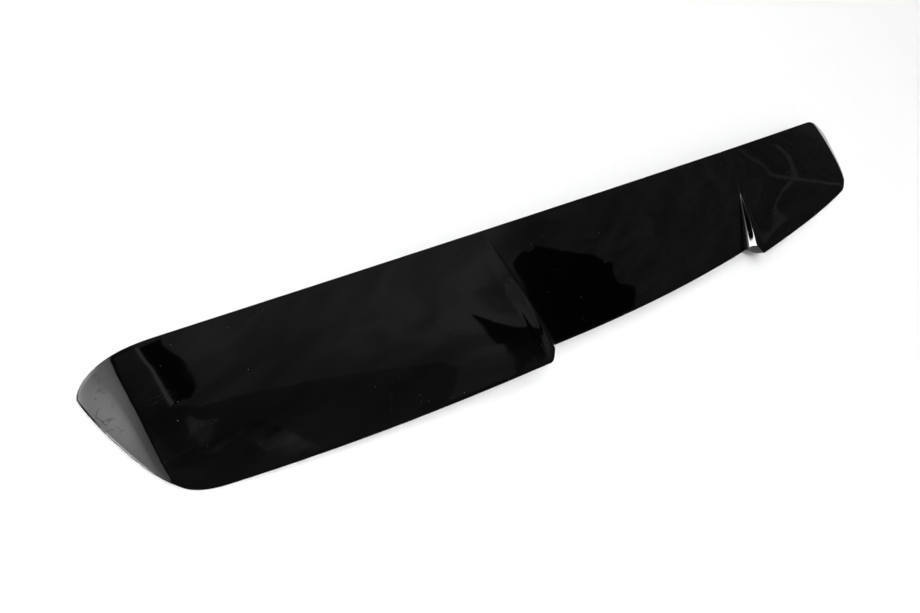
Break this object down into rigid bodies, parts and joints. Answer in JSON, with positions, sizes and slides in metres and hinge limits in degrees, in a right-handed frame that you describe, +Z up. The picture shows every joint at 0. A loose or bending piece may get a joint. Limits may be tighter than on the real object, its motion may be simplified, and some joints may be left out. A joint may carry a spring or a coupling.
{
  "type": "car spoiler",
  "caption": "Gloss black roof spoiler with a lower centre, raised wings and drooping tips, open underneath.",
  "frame": {"origin": "on the middle plane, below the middle of the part, at the level of the side rims' lower edges", "axes": "+X across the car along the spoiler, +Y towards the leading edge, +Z up, away from the tailgate"},
  "size_m": [1.3, 0.1588, 0.067],
  "materials": {
    "gloss_black": "gloss",
    "brass": "knurled",
    "foam_tape": "matte"
  },
  "bodies": {
    "root": {"shell": "gloss_black", "threaded_inserts": "brass", "front_tape": "foam_tape"}
  },
  "joints": []
}
